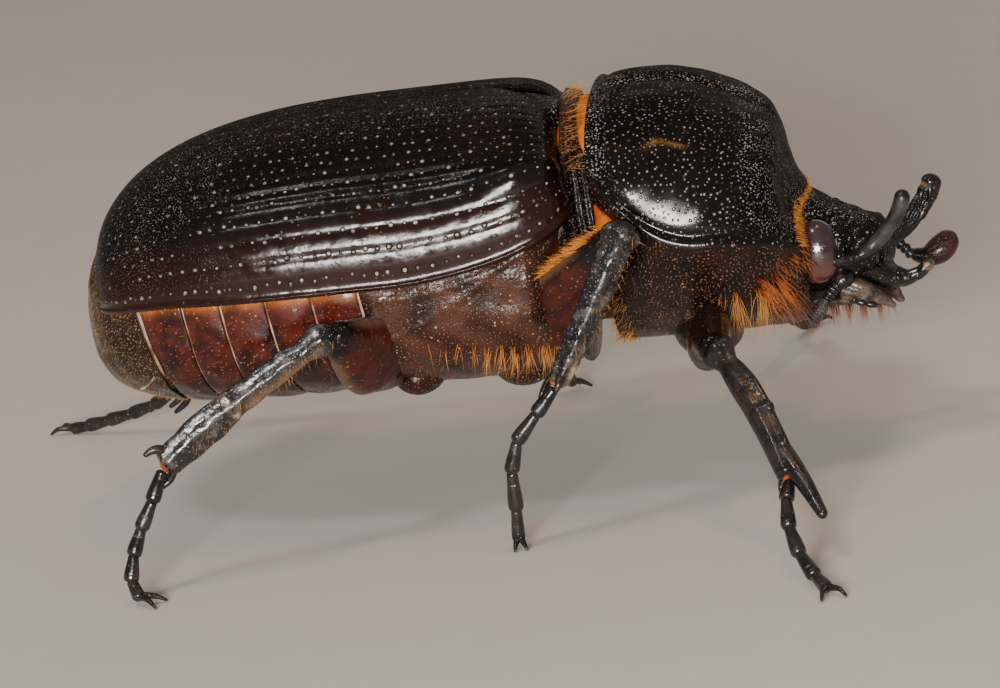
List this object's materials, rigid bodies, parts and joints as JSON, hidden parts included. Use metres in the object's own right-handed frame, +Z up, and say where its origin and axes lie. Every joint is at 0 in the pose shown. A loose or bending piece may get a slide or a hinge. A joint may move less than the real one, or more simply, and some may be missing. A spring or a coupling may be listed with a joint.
{
  "type": "triceratops beetle",
  "caption": "Life-size still model of a glossy black rhinoceros beetle with horns on its head, grooved wing cases, a red-brown belly and jointed legs, standing on its feet.",
  "frame": {"origin": "on the floor under the middle of the model's box", "axes": "+X towards the head, +Y to the beetle's left, +Z up"},
  "size_m": [0.0415, 0.0394, 0.0166],
  "materials": {
    "shell": "glossy black shell with fine punctures",
    "belly": "glossy red-brown belly plates",
    "sternum": "dark brown punctured breast plates",
    "leg": "glossy black legs and feelers",
    "femur": "dark red-brown thighs",
    "eye": "smooth purple-brown eyes",
    "club": "velvety brown-red antenna clubs",
    "setae": "orange-gold bristles",
    "membrane": "cream to orange skin between the plates"
  },
  "bodies": {
    "root": {"coxa_front_right": "sternum", "femur_front_right": "femur", "tibia_front_right": "leg", "tarsus_front_right": "leg", "coxa_front_left": "sternum", "femur_front_left": "femur", "tibia_front_left": "leg", "tarsus_front_left": "leg", "coxa_middle_right": "sternum", "femur_middle_right": "femur", "tibia_middle_right": "leg", "tarsus_middle_right": "leg", "coxa_middle_left": "sternum", "femur_middle_left": "femur", "tibia_middle_left": "leg", "tarsus_middle_left": "leg", "coxa_hind_right": "sternum", "femur_hind_right": "femur", "tibia_hind_right": "leg", "tarsus_hind_right": "leg", "coxa_hind_left": "sternum", "femur_hind_left": "femur", "tibia_hind_left": "leg", "tarsus_hind_left": "leg", "head": "shell", "clypeus": "shell", "eye_right": "eye", "horn_right": "shell", "mandible_right": "shell", "palp_right": "leg", "antenna_stalk_right": "leg", "antenna_club_right": "club", "eye_left": "eye", "horn_left": "shell", "mandible_left": "shell", "palp_left": "leg", "antenna_stalk_left": "leg", "antenna_club_left": "club", "labium": "shell", "pronotum": "shell", "prosternum": "sternum", "mesothorax": "sternum", "metathorax": "sternum", "abdomen_1": "belly", "abdomen_2": "belly", "abdomen_3": "belly", "abdomen_4": "belly", "abdomen_5": "belly", "pygidium": "belly", "scutellum": "shell", "elytron_right": "shell", "elytron_left": "shell"}
  },
  "joints": []
}
